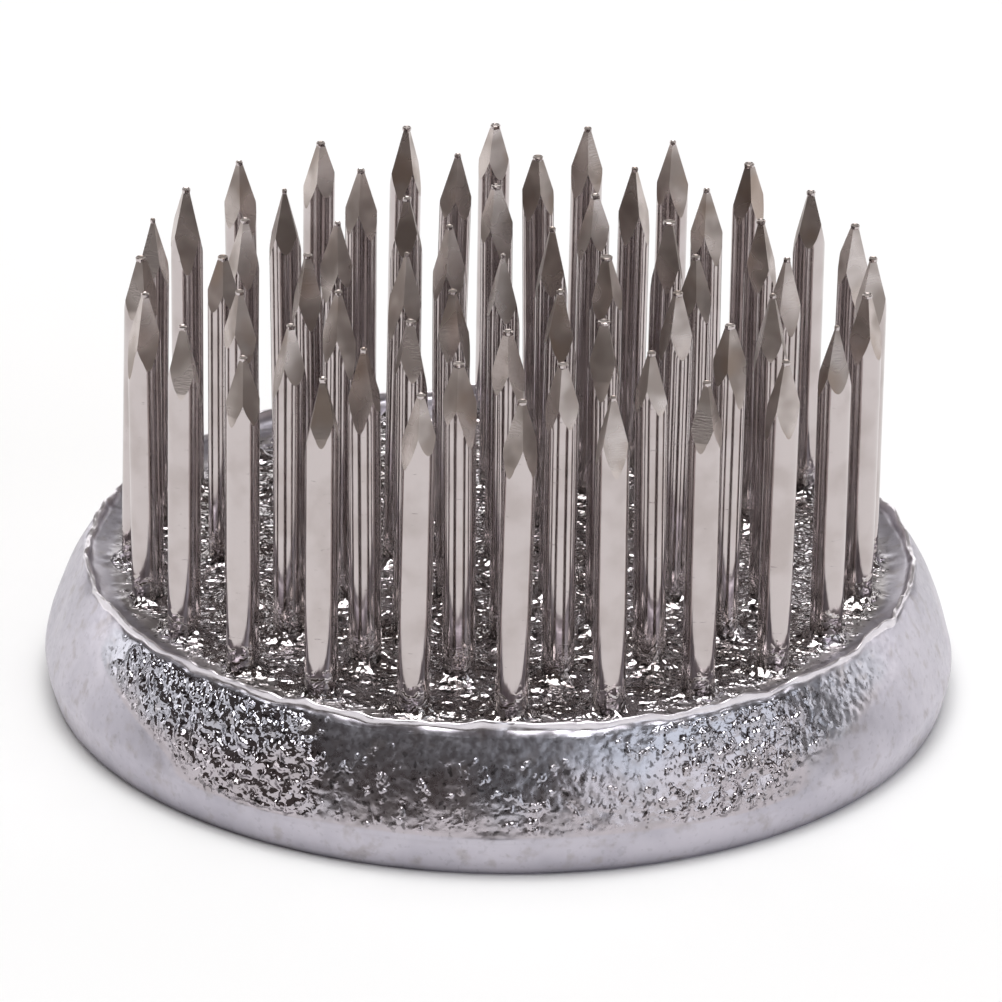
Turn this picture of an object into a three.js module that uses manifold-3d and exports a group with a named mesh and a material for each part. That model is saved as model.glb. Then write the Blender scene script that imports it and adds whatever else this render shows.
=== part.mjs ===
// Flower frog (kenzan): a heavy round casting that holds a bed of sharp steel pins upright.
// Millimetres, +Z up. The origin is the middle of the flat underside.
// Every pin is a piece of its own, seated in its own blind socket in the casting.

import * as THREE from 'three';
import { mergeVertices } from 'three/addons/utils/BufferGeometryUtils.js';
import Module from 'manifold-3d';

const wasm = await Module();
wasm.setup();

// Casting
const castingRadius = 17.5; // at its widest, the top of the band
const undersideRadius = 17.2;
const bandHeight = 1.4; // nearly upright band round the foot
const flankFootLean = 10; // degrees that the flank leans inwards where it leaves the band
const flankTopLean = 34; // and where it meets the lip
const lipHeight = 5.3; // top of the raised lip round the bed
const lipWidth = 0.3;
const bedRadius = 15.2; // flat bed inside the lip
const bedHeight = 4.8;
const flankSteps = 8;
const castingSides = 90;

// Pins
const pinRadius = 0.62;
const pinTop = 17.5; // height of every point above the underside
const pointLength = 2.9; // length of the four ground facets, to a perfect point
const pointBlunt = 0.6; // taken off the perfect point
const pinSides = 16;
const pinFoot = 1.3; // height of the root's end, inside the casting

// Layout: one pin in the middle, then rings of 6, 12, 18 and 24
const ringCount = 4;
const pinsPerRingStep = 6;
const firstRingRadius = 3.9;
const ringPitch = 3.34;

// Sockets in the casting
const socketGap = 0.1; // clearance round and under each root
const socketRadius = pinRadius + socketGap;
const socketFloor = pinFoot - socketGap;
const socketOvershoot = 1; // how far the cutter stands above the bed

// The middle pin and its two neighbours along X share one root bar, hidden in the casting
const rootBarWidth = 0.8;
const rootBarHeight = 0.6;

const castingMaterial = new THREE.MeshStandardMaterial({
  color: '#b9b4be',
  roughness: 0.38,
  metalness: 1,
});
const pinMaterial = new THREE.MeshStandardMaterial({
  color: '#b3aca6',
  roughness: 0.2,
  metalness: 1,
});

function solidFrom(geometry) {
  const bare = geometry.clone();
  bare.deleteAttribute('normal');
  bare.deleteAttribute('uv');
  const merged = mergeVertices(bare, 1e-4);
  return new wasm.Manifold(new wasm.Mesh({
    numProp: 3,
    vertProperties: new Float32Array(merged.attributes.position.array),
    triVerts: new Uint32Array(merged.index.array),
  }));
}

function geometryFrom(solid) {
  const mesh = solid.getMesh();
  const geometry = new THREE.BufferGeometry();
  geometry.setAttribute('position', new THREE.BufferAttribute(mesh.vertProperties, 3));
  geometry.setIndex(new THREE.BufferAttribute(mesh.triVerts, 1));
  geometry.computeVertexNormals();
  return geometry;
}

// An upright prism standing on z = foot, at x, y
function uprightPrism(radius, foot, top, sides, x = 0, y = 0) {
  const geometry = new THREE.CylinderGeometry(radius, radius, top - foot, sides);
  geometry.rotateX(Math.PI / 2);
  geometry.translate(x, y, (foot + top) / 2);
  return solidFrom(geometry);
}

function uprightBox(lengthX, widthY, foot, top) {
  const geometry = new THREE.BoxGeometry(lengthX, widthY, top - foot);
  geometry.translate(0, 0, (foot + top) / 2);
  return solidFrom(geometry);
}

// Half section of the casting, from the middle of the underside round to the middle of the bed
function castingProfile() {
  const points = [
    new THREE.Vector2(0, 0),
    new THREE.Vector2(undersideRadius, 0),
  ];
  // The flank is one arc that leans further inwards as it climbs from the band to the lip
  const foot = THREE.MathUtils.degToRad(flankFootLean);
  const top = THREE.MathUtils.degToRad(flankTopLean);
  const curve = (lipHeight - bandHeight) / (Math.sin(top) - Math.sin(foot));
  for (let step = 0; step <= flankSteps; step += 1) {
    const lean = THREE.MathUtils.lerp(foot, top, step / flankSteps);
    const radius = castingRadius - curve * (Math.cos(foot) - Math.cos(lean));
    const height = bandHeight + curve * (Math.sin(lean) - Math.sin(foot));
    points.push(new THREE.Vector2(radius, height));
  }
  points.push(new THREE.Vector2(points.at(-1).x - lipWidth, lipHeight));
  points.push(new THREE.Vector2(bedRadius, bedHeight));
  points.push(new THREE.Vector2(0, bedHeight));
  return points;
}

function pinPlaces() {
  const places = [{ ring: 0, number: 1, x: 0, y: 0 }];
  for (let ring = 1; ring <= ringCount; ring += 1) {
    const radius = firstRingRadius + (ring - 1) * ringPitch;
    const pinsInRing = ring * pinsPerRingStep;
    for (let index = 0; index < pinsInRing; index += 1) {
      const angle = (index / pinsInRing) * 2 * Math.PI;
      places.push({
        ring,
        number: index + 1,
        x: radius * Math.cos(angle),
        y: radius * Math.sin(angle),
      });
    }
  }
  return places;
}

// The places that stand in the row of three along X through the middle
function inMiddleRow(place) {
  return place.ring <= 1 && Math.abs(place.y) < pinRadius;
}

function rootBar(extra) {
  const length = 2 * firstRingRadius;
  const foot = pinFoot - extra;
  const top = pinFoot + rootBarHeight + extra;
  return uprightBox(length, rootBarWidth + 2 * extra, foot, top);
}

function makeCasting(places) {
  const blank = new THREE.LatheGeometry(castingProfile(), castingSides);
  blank.rotateX(Math.PI / 2);
  let solid = solidFrom(blank);
  for (const { x, y } of places) {
    const top = bedHeight + socketOvershoot;
    const socket = uprightPrism(socketRadius, socketFloor, top, pinSides, x, y);
    solid = solid.subtract(socket);
  }
  return solid.subtract(rootBar(socketGap));
}

// A round shank whose top is ground to four flat facets that meet in a slightly blunt point
function makePin() {
  const shank = uprightPrism(pinRadius, pinFoot, pinTop, pinSides);
  const apex = pinTop + pointBlunt;
  const height = apex - pinFoot + 1;
  const halfWidth = (height / pointLength) * pinRadius;
  const grinding = new THREE.ConeGeometry(halfWidth * Math.SQRT2, height, 4);
  grinding.rotateX(Math.PI / 2);
  grinding.translate(0, 0, apex - height / 2);
  return shank.intersect(solidFrom(grinding));
}

function addMesh(group, name, solid, material, x = 0, y = 0) {
  const mesh = new THREE.Mesh(geometryFrom(solid), material.clone());
  mesh.name = name;
  mesh.position.set(x, y, 0);
  group.add(mesh);
}

const places = pinPlaces();
const pin = makePin();
const group = new THREE.Group();

addMesh(group, 'base_casting', makeCasting(places), castingMaterial);

const middleRow = places.filter(inMiddleRow)
  .reduce((joined, { x, y }) => joined.add(pin.translate([x, y, 0])), rootBar(0));
addMesh(group, 'middle_pin_row', middleRow, pinMaterial);

for (const place of places.filter((each) => !inMiddleRow(each))) {
  const name = `pin_ring${place.ring}_${String(place.number).padStart(2, '0')}`;
  addMesh(group, name, pin, pinMaterial, place.x, place.y);
}

export default group;
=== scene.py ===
"""Flower frog: the bright casting and its bed of plated pins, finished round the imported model.

Metres, +Z up, the origin in the middle of the casting's underside. The front is -Y.
"""

import math
import random

import bmesh
import bpy
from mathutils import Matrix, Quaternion, Vector, noise


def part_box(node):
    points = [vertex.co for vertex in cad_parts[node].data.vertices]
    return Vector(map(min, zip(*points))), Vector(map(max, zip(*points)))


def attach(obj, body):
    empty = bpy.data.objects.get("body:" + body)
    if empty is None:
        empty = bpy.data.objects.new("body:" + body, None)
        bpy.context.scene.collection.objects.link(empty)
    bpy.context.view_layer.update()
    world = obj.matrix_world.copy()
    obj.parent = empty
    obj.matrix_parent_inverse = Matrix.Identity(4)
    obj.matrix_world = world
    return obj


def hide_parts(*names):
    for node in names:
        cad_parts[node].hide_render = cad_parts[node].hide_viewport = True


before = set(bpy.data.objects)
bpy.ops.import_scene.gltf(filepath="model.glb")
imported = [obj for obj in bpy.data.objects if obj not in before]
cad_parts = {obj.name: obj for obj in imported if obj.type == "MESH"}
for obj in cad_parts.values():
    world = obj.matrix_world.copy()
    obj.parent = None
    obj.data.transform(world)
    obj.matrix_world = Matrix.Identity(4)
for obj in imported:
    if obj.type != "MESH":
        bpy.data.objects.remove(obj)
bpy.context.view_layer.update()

MM = 0.001
ROOT = "root"
CASTING_NODE = "base_casting"
MIDDLE_ROW_NODE = "middle_pin_row"
chance = random.Random(61)

# Casting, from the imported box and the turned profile
WIDEST_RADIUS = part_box(CASTING_NODE)[1].x
UNDERSIDE_RADIUS = 17.2 * MM
FOOT_CHAMFER = 0.12 * MM
BAND_TOP = 1.4 * MM
CREASE_DEPTH = 0.015 * MM
FLANK_FOOT = 1.5 * MM
FLANK_FOOT_LEAN = math.radians(11)
FLANK_TOP_LEAN = math.radians(34)
SHOULDER_HEIGHT = 5.2 * MM
BED_RADIUS = 14.75 * MM
BED_HEIGHT = 4.84 * MM
BED_EDGE = (15.3 * MM, 14.7 * MM)  # where the lip's inner slope turns into the bed
ROUGH_BED = (15.0 * MM, 13.4 * MM)  # the outer bed is smoother than the rest
FLANK_EDGE = (15.93 * MM, 16.1 * MM)
UPPER_FLANK = (3.6 * MM, 4.8 * MM)
BAND_BULGE = 0.04 * MM
BAND_ROWS = 7
SIDES = 720
FLANK_ROWS = 34

# Lip: a thin wavy fin of metal that ran up the mould's joint.
# (radius, height) in millimetres, from outside to inside
LIP_PROFILE = (
    (15.93, 5.215), (15.900, 5.235), (15.905, 5.26), (15.92, 5.285), (15.90, 5.30), (15.87, 5.31),
    (15.84, 5.31), (15.81, 5.30), (15.78, 5.27), (15.75, 5.22), (15.71, 5.14), (15.64, 5.04),
    (15.54, 5.00), (15.40, 4.95), (15.22, 4.905), (15.00, 4.87), (14.75, 4.84),
)
LIP_RADIUS = 15.85 * MM
LIP_FOOT = 5.212 * MM
LIP_CREST = 5.29 * MM
LIP_OUTSIDE = (15.95 * MM, 15.93 * MM)
LIP_RISE = 0.25 * MM
LIP_WANDER = 0.46 * MM

# Pins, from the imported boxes
sample_low, sample_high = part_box("pin_ring1_02")
PIN_RADIUS = (sample_high.x - sample_low.x) / 2
PIN_FOOT = sample_low.z
PIN_TOP = sample_high.z
PIN_SIDES = 48
POINT_LENGTH = 2.85 * MM
POINT_KINDS = 14
BLEND_RINGS = 8
BLEND_RING_PITCH = 0.25 * MM
CUT_TOLERANCE = 0.0005 * MM
BURR_HEIGHT = 0.17 * MM
BURR_CUTS = 3
POINT_START = PIN_TOP - POINT_LENGTH * 1.4  # no facet reaches lower than this
CLIMB_HEIGHT = 0.42 * MM  # how far the metal climbs each pin
CLIMB_REACH = 0.22 * MM


# ---------------------------------------------------------------- small helpers


def smooth_step(low, high, value):
    share = min(1.0, max(0.0, (value - low) / (high - low)))
    return share * share * (3 - 2 * share)


def bell(centre, width, value):
    return math.exp(-(((value - centre) / width) ** 2))


def pick(piece):
    """Makes this the only piece selected."""
    bpy.ops.object.select_all(action="DESELECT")
    piece.select_set(True)
    bpy.context.view_layer.objects.active = piece


def enter_edit(piece):
    pick(piece)
    bpy.ops.object.mode_set(mode="EDIT")
    bpy.ops.mesh.select_mode(type="FACE")


def leave_edit():
    bpy.ops.object.mode_set(mode="OBJECT")


def select_only(piece, kind, test):
    """Selects the faces, edges or verts of the piece being edited that pass the test."""
    bpy.ops.mesh.select_all(action="DESELECT")
    shape = bmesh.from_edit_mesh(piece.data)
    for item in getattr(shape, kind):
        item.select_set(test(item))
    bmesh.update_edit_mesh(piece.data)


def settle(piece):
    """Puts the piece's place and turn into its mesh."""
    pick(piece)
    bpy.ops.object.transform_apply(location=True, rotation=True, scale=True)


def front_angle(x, y):
    """Degrees round the axis from the front, positive towards +X."""
    return math.degrees(math.atan2(x, -y))


# ---------------------------------------------------------------- where the pins stand


def pin_stands():
    """(node, x, y) for every pin."""
    stands = []
    for node in sorted(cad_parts):
        if node.startswith("pin_ring"):
            low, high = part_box(node)
            stands.append((node, (low.x + high.x) / 2, (low.y + high.y) / 2))
    low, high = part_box(MIDDLE_ROW_NODE)
    for x in (low.x + PIN_RADIUS, 0.0, high.x - PIN_RADIUS):
        stands.append((MIDDLE_ROW_NODE, x, 0.0))
    return stands


# ---------------------------------------------------------------- casting


def casting_rows():
    """Radius and height of each ring of the skin, from the underside's edge up to the bed."""
    rows = [(UNDERSIDE_RADIUS, FOOT_CHAMFER)]
    for step in range(1, BAND_ROWS + 1):
        share = step / BAND_ROWS
        bulge = math.sin(share * math.pi) * BAND_BULGE
        radius = UNDERSIDE_RADIUS + (WIDEST_RADIUS - UNDERSIDE_RADIUS) * share + bulge
        rows.append((radius, FOOT_CHAMFER + (BAND_TOP - FOOT_CHAMFER) * share))
    rows.append((WIDEST_RADIUS - CREASE_DEPTH, BAND_TOP + 0.05 * MM))
    curve = (SHOULDER_HEIGHT - FLANK_FOOT) / (math.sin(FLANK_TOP_LEAN) - math.sin(FLANK_FOOT_LEAN))
    for step in range(FLANK_ROWS + 1):
        lean = FLANK_FOOT_LEAN + (FLANK_TOP_LEAN - FLANK_FOOT_LEAN) * step / FLANK_ROWS
        radius = WIDEST_RADIUS - curve * (math.cos(FLANK_FOOT_LEAN) - math.cos(lean))
        rows.append((radius, FLANK_FOOT + curve * (math.sin(lean) - math.sin(FLANK_FOOT_LEAN))))
    return rows + [(radius * MM, height * MM) for radius, height in LIP_PROFILE]


def turn_casting():
    """A disc drawn up ring by ring into the band, flank and shoulder, with a grid for the bed."""
    foot_radius = UNDERSIDE_RADIUS - FOOT_CHAMFER
    bpy.ops.mesh.primitive_cylinder_add(
        vertices=SIDES, radius=foot_radius, depth=FOOT_CHAMFER / 4, location=(0, 0, FOOT_CHAMFER / 8)
    )
    casting = bpy.context.object
    casting.name = "casting"
    settle(casting)
    enter_edit(casting)
    select_only(casting, "faces", lambda face: face.normal.z > 0.9)
    radius, height = foot_radius, FOOT_CHAMFER / 4
    for next_radius, next_height in casting_rows():
        rise = (0, 0, next_height - height)
        bpy.ops.mesh.extrude_region_move(TRANSFORM_OT_translate={"value": rise})
        grow = next_radius / radius
        bpy.ops.transform.resize(value=(grow, grow, 1))
        radius, height = next_radius, next_height
    bpy.ops.mesh.delete(type="ONLY_FACE")
    bpy.ops.mesh.select_mode(type="EDGE")
    select_only(casting, "edges", lambda edge: edge.is_boundary)
    bpy.ops.mesh.fill_grid(span=SIDES // 4)
    leave_edit()
    return casting


def roughness_round(angle, height):
    """How rough the flank's skin is here, 0 to 1: the rough front narrows towards the foot."""
    # Angles in degrees from the front
    edge = 46 + 22 * smooth_step(1.8 * MM, 4.4 * MM, height)
    front = smooth_step(edge, edge - 16, abs(angle + 2))
    left_patch = smooth_step(-20, -32, angle)
    right_patch = 0.41 * bell(30, 19, angle)
    patchy = 0.5 + 0.5 * noise.noise(Vector((angle / 17, 3.1, 0.0)))
    back = smooth_step(105, 130, abs(angle)) * (0.15 + 0.5 * patchy)
    return min(1.0, max(front * max(left_patch, right_patch, 0.23), back, 0.04))


def lip_height_share(angle):
    """The lip stands up over the front and is low and broken round the back."""
    front = smooth_step(92, 66, abs(angle))
    wave = noise.noise(Vector((angle / 7, 7.7, 0.0)))
    fine = noise.noise(Vector((angle / 2.3, 1.3, 4.0)))
    back = max(0.0, 0.3 + 0.5 * wave)
    return min(1.0, max(0.0, (front + (1 - front) * back) * (0.72 + 0.45 * wave + 0.3 * fine)))


def climb_share(x, y, stands):
    """How much of the full climb the metal has at this place beside its nearest pin."""
    nearest = min(((x - px) ** 2 + (y - py) ** 2, index) for index, (_, px, py) in enumerate(stands))
    distance = math.sqrt(nearest[0]) - PIN_RADIUS
    uneven = 0.62 + 0.75 * noise.noise(Vector((x, y, 0.0)) / (0.45 * MM))
    return max(0.0, min(1.0, uneven * math.exp(-max(0.0, distance) / CLIMB_REACH)))


def weigh_casting(casting, stands):
    """Vertex groups and attributes that say where each kind of skin is, and where the lip's painted
    highlight goes.
    """
    names = ("flank", "lip", "wander", "climb", "bed", "skin")
    groups = {name: casting.vertex_groups.new(name=name) for name in names}
    rough_skin, bed_skin, lip_highlight_paint = [], [], []
    for vertex in casting.data.vertices:
        x, y, z = vertex.co
        radius = math.hypot(x, y)
        angle = front_angle(x, y)
        on_bed = smooth_step(*BED_EDGE, radius) if z > BAND_TOP else 0.0
        on_flank = smooth_step(1.45 * MM, 1.9 * MM, z) * smooth_step(*FLANK_EDGE, radius)
        upper = smooth_step(*UPPER_FLANK, z)
        # The skin calms down below the lip, but hardly at all on the right
        calm = 0.5 - 0.45 * smooth_step(6, 16, angle)
        rough = on_flank * roughness_round(angle, z) * (1 - calm * upper)
        climb = climb_share(x, y, stands) if on_bed > 0 else 0.0
        inner_bed = smooth_step(*ROUGH_BED, radius)
        rough_skin.append(rough)
        bed_skin.append(on_bed * min(1.0, 0.22 + 0.5 * inner_bed + climb))
        # The lip's crest, where its painted highlight goes
        lip_highlight_paint.append(bell(LIP_RADIUS, 0.10 * MM, radius) if z > SHOULDER_HEIGHT else 0.0)
        index = [vertex.index]
        skin = max(on_flank * 0.6, on_bed * 0.7, 0.08 * smooth_step(0.1 * MM, 0.5 * MM, z))
        groups["flank"].add(index, rough, "REPLACE")
        groups["skin"].add(index, skin, "REPLACE")
        groups["bed"].add(index, on_bed * (0.35 + 0.65 * inner_bed), "REPLACE")
        if radius > BED_RADIUS and z > 4 * MM:
            on_lip = smooth_step(LIP_FOOT, LIP_CREST, z) * smooth_step(*LIP_OUTSIDE, radius)
            groups["lip"].add(index, on_lip * lip_height_share(angle), "REPLACE")
            groups["wander"].add(index, bell(LIP_RADIUS, 0.2 * MM, radius), "REPLACE")
        if climb > 0:
            groups["climb"].add(index, climb, "REPLACE")
    for name, values in (("rough_skin", rough_skin), ("bed_skin", bed_skin), ("lip_highlight_paint", lip_highlight_paint)):
        attribute = casting.data.attributes.new(name, "FLOAT", "POINT")
        attribute.data.foreach_set("value", values)


def grain(name, size, **settings):
    """A cloudy texture whose marks are about this size in metres."""
    texture = bpy.data.textures.new(name, "CLOUDS")
    texture.noise_scale = size
    for key, value in settings.items():
        setattr(texture, key, value)
    return texture


def press(piece, name, group, strength, texture=None, direction="NORMAL", mid=0.5):
    """Moves the skin out or in by a texture, as far as the vertex group says, and fixes it."""
    change = piece.modifiers.new(name, "DISPLACE")
    change.vertex_group = group
    change.strength = strength
    change.direction = direction
    change.mid_level = mid
    change.texture_coords = "LOCAL"
    if texture:
        change.texture = texture
    pick(piece)
    bpy.ops.object.modifier_apply(modifier=name)


def roughen_casting(casting):
    press(casting, "raise_lip", "lip", LIP_RISE, direction="Z", mid=0.0)
    press(casting, "climb_pins", "climb", CLIMB_HEIGHT, direction="Z", mid=0.0)
    wander = grain("lip_wander", 1.8 * MM, noise_depth=2, cloud_type="COLOR")
    press(casting, "lip_wander", "wander", LIP_WANDER, wander, direction="RGB_TO_XYZ")
    # Name, vertex group, size of the marks, how deep they go and how much finer detail they carry
    for name, group, size, depth, detail in (
        ("broad_waves", "skin", 3.2 * MM, 0.26 * MM, 1),
        ("lumps", "flank", 0.75 * MM, 0.24 * MM, 1),
        ("pits", "flank", 0.30 * MM, 0.20 * MM, 0),
        ("bed_lumps", "bed", 0.75 * MM, 0.22 * MM, 2),
    ):
        press(casting, name, group, depth, grain(name, size, noise_depth=detail))


def make_casting(stands):
    casting = turn_casting()
    weigh_casting(casting, stands)
    roughen_casting(casting)
    pick(casting)
    bpy.ops.object.shade_smooth_by_angle(angle=math.radians(50))
    casting.data.materials.append(cast_alloy())
    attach(casting, ROOT)
    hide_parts(CASTING_NODE)


# ---------------------------------------------------------------- pins


def grind(pin, turn, slope, apex):
    """Cuts one flat facet whose plane passes through the apex."""
    facing = (math.cos(turn) * math.cos(slope), math.sin(turn) * math.cos(slope), math.sin(slope))
    bpy.ops.mesh.select_all(action="SELECT")
    bpy.ops.mesh.bisect(
        plane_co=apex, plane_no=facing, use_fill=True, clear_outer=True, threshold=CUT_TOLERANCE
    )


def raise_burr(pin, spread):
    """Rounds the cut tip and draws it up into a small collar with a dished top."""
    select_only(pin, "faces", lambda face: face.normal.z > 0.99)
    bpy.ops.mesh.delete(type="ONLY_FACE")
    bpy.ops.mesh.select_mode(type="EDGE")
    select_only(pin, "edges", lambda edge: edge.is_boundary)
    bpy.ops.mesh.subdivide(number_cuts=BURR_CUTS)
    # Each ring of the burr: its rise as a share of the height, and its growth over the ring below
    rings = ((0.25, spread), (0.55, 1.04), (0.20, 0.84), (-0.12, 0.7))
    for number, (rise, grow) in enumerate(rings):
        lift = (0, 0, rise * BURR_HEIGHT)
        bpy.ops.mesh.extrude_region_move(TRANSFORM_OT_translate={"value": lift})
        if number == 0:
            bpy.ops.transform.tosphere(value=1.0)
        bpy.ops.transform.resize(value=(grow, grow, 1))
    bpy.ops.mesh.edge_face_add()
    bpy.ops.mesh.select_mode(type="FACE")


def make_point_kind(number):
    """One way a wire end comes out of the pointing tool: four facets, never quite alike."""
    top = PIN_TOP - BURR_HEIGHT
    middle = (0, 0, (PIN_FOOT + top) / 2)
    bpy.ops.mesh.primitive_cylinder_add(
        vertices=PIN_SIDES, radius=PIN_RADIUS, depth=top - PIN_FOOT, location=middle
    )
    pin = bpy.context.object
    pin.name = f"point_kind_{number}"
    settle(pin)
    enter_edit(pin)
    # Rings below the facets, so that their soft lower ends don't reach down the shank
    for ring in range(BLEND_RINGS):
        bpy.ops.mesh.select_all(action="SELECT")
        place = (0, 0, PIN_TOP - POINT_LENGTH * 0.6 - ring * BLEND_RING_PITCH)
        bpy.ops.mesh.bisect(plane_co=place, plane_no=(0, 0, 1), threshold=CUT_TOLERANCE)
    blunt = chance.uniform(0.30, 0.75) * MM
    aside = chance.uniform(0.0, 0.09) * MM
    for facet in range(4):
        turn = math.radians(90 * facet + chance.uniform(-7, 7))
        length = POINT_LENGTH * chance.uniform(0.92, 1.12)
        slope = math.atan(PIN_RADIUS / length)
        grind(pin, turn, slope, (aside, 0, top + blunt))
        # A shallower pass softens the facet's lower end
        out = chance.uniform(0.93, 0.98)
        start_x, start_y = math.cos(turn) * PIN_RADIUS * out, math.sin(turn) * PIN_RADIUS * out
        grind(pin, turn, slope * 0.5, (start_x + aside, start_y, top + blunt - length * out))
    raise_burr(pin, chance.uniform(1.06, 1.34))
    bpy.ops.mesh.select_all(action="SELECT")
    bpy.ops.mesh.normals_make_consistent(inside=False)
    leave_edit()
    return pin


def facet_faces(pin):
    """Marks the ground facets with their own finish."""
    for face in pin.data.polygons:
        ground = face.center.z > POINT_START and face.normal.z > 0.05
        face.material_index = 1 if ground else 0


def make_pins(stands):
    kinds = [make_point_kind(number) for number in range(POINT_KINDS)]
    shank, point = plated_shank(), ground_point()
    for kind in kinds:
        kind.data.materials.append(shank)
        kind.data.materials.append(point)
        facet_faces(kind)
        pick(kind)
        bpy.ops.object.shade_smooth_by_angle(angle=math.radians(9.5))
    for number, (node, x, y) in enumerate(stands):
        pin = kinds[chance.randrange(POINT_KINDS)].copy()
        pin.data = pin.data.copy()
        pin.name = f"pin_{number + 1:02d}"
        bpy.context.scene.collection.objects.link(pin)
        set_in_casting(pin, x, y)
        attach(pin, ROOT)
        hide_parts(node)
    for kind in kinds:
        bpy.data.objects.remove(kind)


def set_in_casting(pin, x, y):
    """Stands the pin in its place, turned about itself and a little out of true."""
    pick(pin)
    pivot = (0, 0, BED_HEIGHT)
    spin = chance.uniform(0, 2 * math.pi)
    bpy.ops.transform.rotate(value=spin, orient_axis="Z", center_override=(0, 0, 0))
    for axis in "XY":
        lean = math.radians(chance.gauss(0, 0.45))
        bpy.ops.transform.rotate(value=lean, orient_axis=axis, center_override=pivot)
    drop = abs(chance.gauss(0, 0.07)) * MM
    bpy.ops.transform.translate(value=(x, y, -drop))
    settle(pin)


# ---------------------------------------------------------------- materials


class Recipe:
    """A material being mixed: adds nodes and joins them."""

    def __init__(self, name):
        self.material = bpy.data.materials.new(name)
        self.material.use_nodes = True
        self.tree = self.material.node_tree
        self.shader = self.tree.nodes["Principled BSDF"]
        self.place = self.add("ShaderNodeTexCoord").outputs["Object"]

    def add(self, kind, **settings):
        node = self.tree.nodes.new(kind)
        for key, value in settings.items():
            setattr(node, key, value)
        return node

    def join(self, start, end):
        self.tree.links.new(start, end)

    def noise(self, size, detail=2.0, stretch=(1, 1, 1), lumpiness=0.5):
        """Noise whose marks are about this size in metres, longer where stretch is above 1."""
        mapping = self.add("ShaderNodeMapping")
        mapping.inputs["Scale"].default_value = tuple(1 / along for along in stretch)
        self.join(self.place, mapping.inputs["Vector"])
        texture = self.add("ShaderNodeTexNoise")
        texture.inputs["Scale"].default_value = 1 / size
        texture.inputs["Detail"].default_value = detail
        texture.inputs["Roughness"].default_value = lumpiness
        self.join(mapping.outputs["Vector"], texture.inputs["Vector"])
        return texture.outputs["Fac"]

    def height(self):
        parts = self.add("ShaderNodeSeparateXYZ")
        self.join(self.place, parts.inputs["Vector"])
        return parts.outputs["Z"]

    def attribute(self, name):
        return self.add("ShaderNodeAttribute", attribute_name=name).outputs["Fac"]

    def ramp(self, value, low, high, start, end):
        """start below low, end above high, smooth between."""
        node = self.add("ShaderNodeMapRange", interpolation_type="SMOOTHSTEP")
        for name, number in (("From Min", low), ("From Max", high), ("To Min", start), ("To Max", end)):
            node.inputs[name].default_value = number
        self.join(value, node.inputs["Value"])
        return node.outputs["Result"]

    def math(self, operation, first, second):
        node = self.add("ShaderNodeMath", operation=operation)
        for socket, value in zip(node.inputs, (first, second)):
            if isinstance(value, (int, float)):
                socket.default_value = value
            else:
                self.join(value, socket)
        return node.outputs["Value"]

    def blend(self, share, first, second):
        node = self.add("ShaderNodeMix", data_type="RGBA")
        self.join(share, node.inputs[0])
        for number, colour in ((6, first), (7, second)):
            if isinstance(colour, tuple):
                node.inputs[number].default_value = (*colour, 1)
            else:
                self.join(colour, node.inputs[number])
        return node.outputs[2]

    def mix(self, share, first, second):
        node = self.add("ShaderNodeMix", data_type="FLOAT")
        for number, value in ((0, share), (2, first), (3, second)):
            self.join(value, node.inputs[number])
        return node.outputs[0]

    def bump(self, height, depth, strength, under=None):
        node = self.add("ShaderNodeBump")
        node.inputs["Strength"].default_value = strength
        node.inputs["Distance"].default_value = depth
        self.join(height, node.inputs["Height"])
        if under is not None:
            self.join(under, node.inputs["Normal"])
        return node.outputs["Normal"]

    def finish_metal(self, colour, roughness, normal):
        self.shader.inputs["Metallic"].default_value = 1.0
        self.join(colour, self.shader.inputs["Base Color"])
        self.join(roughness, self.shader.inputs["Roughness"])
        self.join(normal, self.shader.inputs["Normal"])
        return self.material


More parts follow.
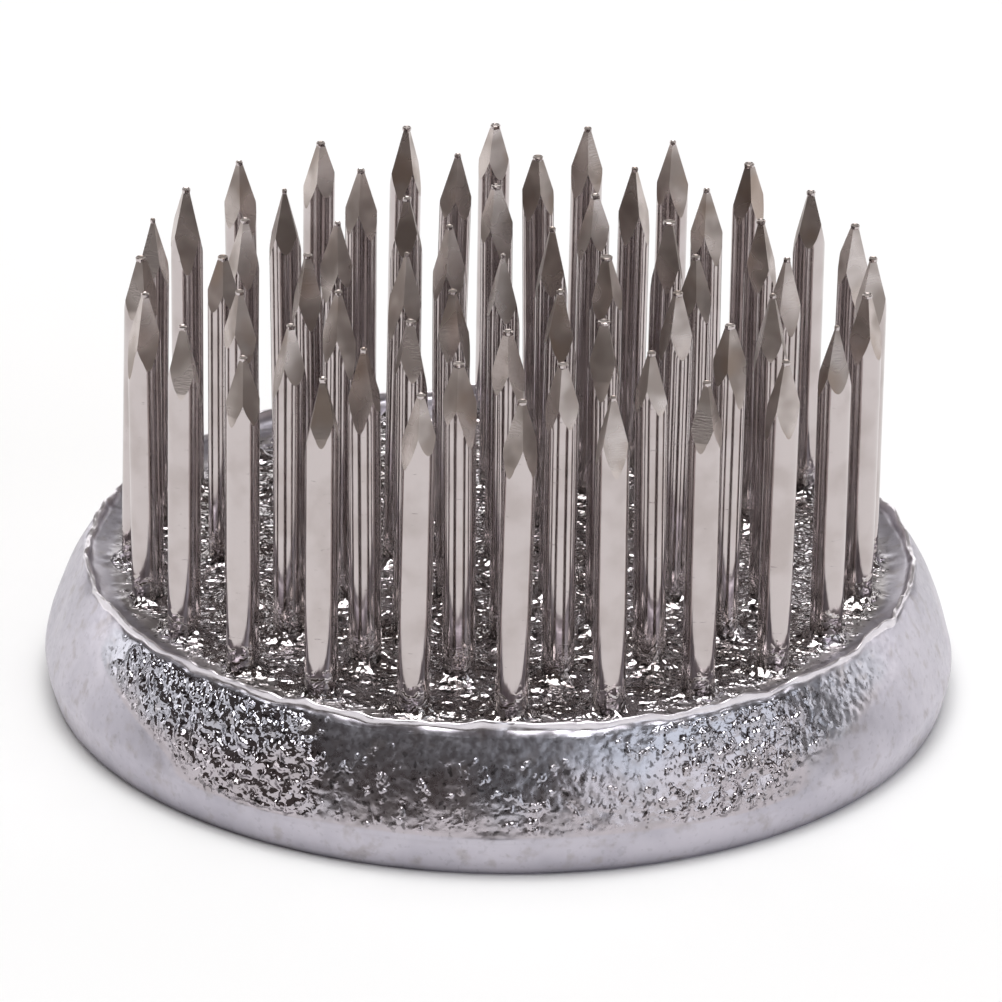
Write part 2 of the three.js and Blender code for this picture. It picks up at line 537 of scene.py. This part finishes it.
def cast_alloy():
    """Bright lead alloy as it left the mould: lilac silver, satin where smooth, with painted shade in
    the pits and a painted highlight on the lip.
    """
    recipe = Recipe("cast_alloy")
    rough_skin = recipe.attribute("rough_skin")
    bed_skin = recipe.attribute("bed_skin")
    on_bed = recipe.ramp(bed_skin, 0.05, 0.2, 0, 1)
    uneven = recipe.math("MAXIMUM", rough_skin, bed_skin)
    clouds = recipe.noise(2.6 * MM, detail=3)
    mottle = recipe.noise(0.7 * MM, detail=4)

    # Colour: silver on the smooth skin, greyer where rough, painted shade in the pits and a painted
    # highlight on the lip
    cloudy = recipe.ramp(clouds, 0.35, 0.65, 0, 1)
    silver = recipe.blend(cloudy, (0.47, 0.45, 0.505), (0.55, 0.525, 0.58))
    bed_cloudy = recipe.ramp(clouds, 0.4, 0.6, 0, 1)
    bed_grey = recipe.blend(bed_cloudy, (0.53, 0.50, 0.50), (0.63, 0.60, 0.625))
    drift = recipe.math("MULTIPLY", clouds, 7 * MM)
    tarnish = recipe.ramp(recipe.math("ADD", recipe.height(), drift), 5.6 * MM, 8.2 * MM, 0, 1)
    flank_grey = recipe.blend(tarnish, (0.51, 0.462, 0.485), (0.46, 0.465, 0.52))
    skin = recipe.blend(recipe.ramp(rough_skin, 0.04, 0.12, 0, 0.8), silver, flank_grey)
    base = recipe.blend(recipe.ramp(bed_skin, 0.05, 0.3, 0, 1), skin, bed_grey)
    tinted = recipe.blend(recipe.ramp(mottle, 0.52, 0.72, 0, 0.6), base, (0.38, 0.345, 0.35))
    # Pits painted near black on the rough skin and the bed: painted shade in the pits
    pits = recipe.noise(0.24 * MM, detail=1.5)
    pit_share = recipe.ramp(pits, 0.60, 0.68, 0, 1)
    painted_pit_shade = recipe.math("MULTIPLY", pit_share, recipe.ramp(uneven, 0.03, 0.3, 0.10, 0.8))
    dark = recipe.blend(painted_pit_shade, tinted, (0.04, 0.035, 0.035))
    # The lip's crest painted near white: a painted highlight
    colour = recipe.blend(recipe.attribute("lip_highlight_paint"), dark, (0.86, 0.82, 0.85))

    # Beads of metal cover the rough skin, in patches
    patches = recipe.math("MULTIPLY", recipe.noise(0.50 * MM, detail=2), 1.2)
    beaded = recipe.ramp(recipe.math("ADD", uneven, patches), 0.88, 1.24, 0.14, 1)
    beaded = recipe.math("MULTIPLY", beaded, recipe.ramp(uneven, 0.02, 0.2, 0, 1))

    # Polish: satin where smooth, brighter where the metal ran rough
    satin = recipe.ramp(recipe.noise(0.25 * MM, detail=3), 0.3, 0.7, 0.30, 0.42)
    bright = recipe.ramp(mottle, 0.35, 0.7, 0.11, 0.22)
    polish = recipe.mix(recipe.ramp(uneven, 0.05, 0.5, 0, 1), satin, bright)
    bed_satin = recipe.ramp(mottle, 0.3, 0.7, 0.34, 0.46)
    bed_bright = recipe.ramp(clouds, 0.3, 0.7, 0.12, 0.22)
    roughness = recipe.mix(on_bed, polish, recipe.mix(beaded, bed_satin, bed_bright))

    # Fine relief: a trace of grain everywhere but the bed, grit on the rough flank, then the beads
    round_beads = recipe.noise(0.30 * MM, detail=0.6, lumpiness=0.4)
    broad_beads = recipe.noise(0.44 * MM, detail=1.4, lumpiness=0.45)
    beads = recipe.math("MULTIPLY", recipe.mix(on_bed, round_beads, broad_beads), beaded)
    gritty_share = recipe.ramp(rough_skin, 0.08, 0.5, 0, 1)
    grit = recipe.math("MULTIPLY", recipe.noise(0.17 * MM, detail=1.5), gritty_share)
    off_bed = recipe.ramp(bed_skin, 0, 0.2, 1, 0)
    traces = recipe.math("MULTIPLY", recipe.noise(0.12 * MM, detail=2), off_bed)
    fine = recipe.bump(traces, 0.002 * MM, 0.8)
    gritty = recipe.bump(grit, 0.035 * MM, 0.9, under=fine)
    normal = recipe.bump(beads, 0.27 * MM, 1.0, under=gritty)
    return recipe.finish_metal(colour, roughness, normal)


def plated_shank():
    """Nickel-plated drawn wire: near mirror, warm grey, with splashed metal at its foot painted near
    black as painted shade.
    """
    recipe = Recipe("plated_shank")
    streaks = recipe.noise(0.10 * MM, detail=2, stretch=(1, 1, 30))
    nicks = recipe.noise(0.07 * MM, detail=2, stretch=(8, 8, 1))
    stain = recipe.noise(1.6 * MM, detail=3)
    stained = recipe.ramp(stain, 0.4, 0.7, 0, 1)
    plate = recipe.blend(stained, (0.575, 0.52, 0.515), (0.49, 0.435, 0.425))
    # Splashes of metal at the foot: raised by a bump, and painted near black as painted shade and a
    # painted reflection of the dark bed
    splash = recipe.noise(0.34 * MM, detail=1.5)
    reach = recipe.math("ADD", recipe.height(), recipe.math("MULTIPLY", splash, 2.6 * MM))
    foot = recipe.ramp(reach, 6.3 * MM, 7.3 * MM, 1, 0)
    shaded_splash_share = recipe.ramp(splash, 0.41, 0.51, 0, 1)
    foot_shade_and_splash = recipe.blend(shaded_splash_share, (0.56, 0.52, 0.50), (0.06, 0.05, 0.045))
    colour = recipe.blend(foot, plate, foot_shade_and_splash)
    roughness = recipe.ramp(streaks, 0.3, 0.75, 0.10, 0.17)
    drawn = recipe.bump(streaks, 0.0008 * MM, 0.7)
    dents = recipe.noise(0.42 * MM, detail=1, stretch=(1, 1, 2))
    dented = recipe.bump(dents, 0.006 * MM, 0.7, under=drawn)
    nicked = recipe.bump(recipe.ramp(nicks, 0.70, 0.80, 0, 1), 0.006 * MM, 0.7, under=dented)
    normal = recipe.bump(recipe.math("MULTIPLY", splash, foot), 0.20 * MM, 0.9, under=nicked)
    return recipe.finish_metal(colour, roughness, normal)


def ground_point():
    """The ground facets: a brown-grey satin, with marks across them and a little stain."""
    recipe = Recipe("ground_point")
    marks = recipe.noise(0.06 * MM, detail=2, stretch=(6, 6, 1))
    patches = recipe.noise(1.7 * MM, detail=2)
    stain = recipe.noise(2.3 * MM, detail=2)
    patchy = recipe.ramp(patches, 0.35, 0.65, 0, 1)
    bare = recipe.blend(patchy, (0.58, 0.515, 0.49), (0.34, 0.29, 0.265))
    colour = recipe.blend(recipe.ramp(stain, 0.52, 0.70, 0, 0.7), bare, (0.34, 0.265, 0.22))
    roughness = recipe.ramp(patches, 0.3, 0.7, 0.22, 0.40)
    return recipe.finish_metal(colour, roughness, recipe.bump(marks, 0.004 * MM, 0.7))


# ---------------------------------------------------------------- studio


FLOOR_RADIUS = 1.6
CAMERA_PLACE = (-2.05, 25.33, 0.274)  # degrees round from the front, degrees up, metres off
CAMERA_LENS = 254
CAMERA_TILT = 0.0166
AIM = Vector((0, 0, 7.33 * MM))


def floor_material():
    recipe = Recipe("pale_floor")
    recipe.shader.inputs["Base Color"].default_value = (0.92, 0.92, 0.92, 1)
    recipe.shader.inputs["Roughness"].default_value = 0.9
    recipe.shader.inputs["Specular IOR Level"].default_value = 0.1
    return recipe.material


def make_floor():
    bpy.ops.mesh.primitive_circle_add(
        vertices=96, radius=FLOOR_RADIUS, fill_type="NGON", location=(0, 0, 0)
    )
    floor = bpy.context.object
    floor.name = "floor"
    floor.data.materials.append(floor_material())


def softbox(name, place, size, strength, tint=(1, 1, 1)):
    """A soft light that faces the object."""
    light = bpy.data.lights.new(name, "AREA")
    light.shape = "RECTANGLE"
    light.size, light.size_y = size
    light.energy = strength
    light.color = tint
    lamp = bpy.data.objects.new(name, light)
    lamp.location = place
    lamp.rotation_euler = (-Vector(place)).to_track_quat("-Z", "Y").to_euler()
    lamp.visible_camera = False
    bpy.context.scene.collection.objects.link(lamp)


def round_about(azimuth, elevation, distance):
    """A place round the object; azimuth 0 is the front, positive towards +X."""
    side, up = math.radians(azimuth), math.radians(elevation)
    flat = distance * math.cos(up)
    return (flat * math.sin(side), -flat * math.cos(side), distance * math.sin(up))


def make_lights():
    softbox("top_softbox", (0, 0, 0.9), (0.7, 0.7), 8.5)
    softbox("left_softbox", round_about(-117, 13, 0.55), (0.34, 0.24), 0.44)
    softbox("right_softbox", round_about(117, 13, 0.55), (0.34, 0.24), 0.40)
    softbox("right_fill", round_about(47, 19, 0.55), (0.50, 0.34), 0.72, (0.90, 0.95, 1.0))
    softbox("back_softbox", round_about(180, 11, 0.80), (1.00, 0.28), 1.5)


def make_world():
    """A dim warm-grey room round the set."""
    world = bpy.data.worlds.new("studio")
    bpy.context.scene.world = world
    world.use_nodes = True
    room = world.node_tree.nodes["Background"]
    room.inputs["Color"].default_value = (0.072, 0.060, 0.056, 1)


def make_camera():
    """A long lens, looking down on the front at about twenty-five degrees, tilted a trifle."""
    camera = bpy.data.cameras.new("camera")
    camera.lens = CAMERA_LENS
    camera.sensor_width = 36
    camera.clip_start, camera.clip_end = 0.01, 10
    holder = bpy.data.objects.new("camera", camera)
    holder.location = round_about(*CAMERA_PLACE)
    turn = (AIM - holder.location).to_track_quat("-Z", "Y")
    holder.rotation_mode = "QUATERNION"
    holder.rotation_quaternion = turn @ Quaternion((0, 0, 1), CAMERA_TILT)
    bpy.context.scene.collection.objects.link(holder)
    bpy.context.scene.camera = holder


def set_view():
    bpy.context.scene.view_settings.view_transform = "Standard"
    bpy.context.scene.view_settings.look = "None"


make_camera()
stands = pin_stands()
make_casting(stands)
make_pins(stands)
make_floor()
make_lights()
make_world()
set_view()
